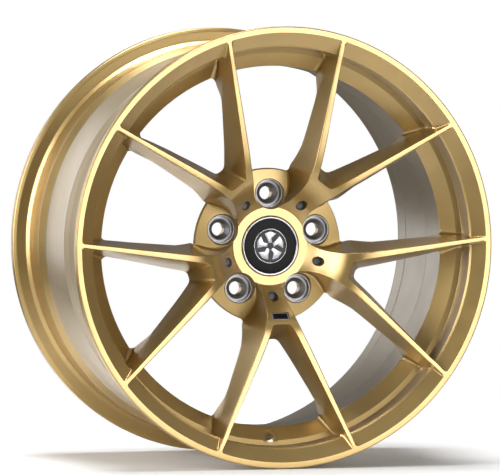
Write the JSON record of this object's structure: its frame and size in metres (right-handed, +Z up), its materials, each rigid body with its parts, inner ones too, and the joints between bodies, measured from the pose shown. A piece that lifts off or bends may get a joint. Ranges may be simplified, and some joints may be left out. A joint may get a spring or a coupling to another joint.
{
  "type": "racing wheel rim",
  "caption": "Forged Y-spoke racing wheel in satin gold, with deep barrel, bolt seats, valve hole and a pull-off centre cap; no tyre fitted.",
  "frame": {"origin": "on the wheel's axis, at the middle of the rim's overall width", "axes": "+Y along the wheel's axis towards the car, so the street side faces -Y; +Z up with the valve hole at the foot; +X to the right seen from the street side"},
  "size_m": [0.498, 0.2536, 0.498],
  "materials": {
    "forging": "satin gold lacquer over a forged and machined surface",
    "bare_steel": "turned bright steel",
    "black_plastic": "moulded, matt black",
    "plug": "moulded, matt charcoal",
    "chrome": "polished",
    "gloss_black": "gloss black",
    "emblem_silver": "satin silver",
    "spring_steel": "drawn wire"
  },
  "bodies": {
    "wheel": {"rim_outer_flange": "forging", "rim_drop_well": "forging", "rim_barrel": "forging", "rim_inner_flange": "forging", "hub_centre": "forging", "hub_mounting_pad": "forging", "spoke_arm_1": "forging", "spoke_arm_2": "forging", "spoke_arm_3": "forging", "spoke_arm_4": "forging", "spoke_arm_5": "forging", "lug_seat_1": "bare_steel", "lug_seat_2": "bare_steel", "lug_seat_3": "bare_steel", "lug_seat_4": "bare_steel", "lug_seat_5": "bare_steel", "arm_hole_plug_1": "plug", "arm_hole_plug_2": "plug", "arm_hole_plug_3": "plug", "arm_hole_plug_4": "plug", "arm_hole_plug_5": "plug", "badge_frame": "emblem_silver", "badge_plate": "gloss_black"},
    "centre_cap": {"cap_body": "black_plastic", "cap_spring_ring": "spring_steel", "cap_bezel": "chrome", "cap_dial": "gloss_black", "cap_emblem_ring": "chrome", "cap_emblem_disc": "emblem_silver"}
  },
  "joints": [
    {"name": "cap_pull", "type": "slide", "parent": "wheel", "child": "centre_cap", "axis": [0, -1, 0], "range_m": [0, 0.06]}
  ]
}
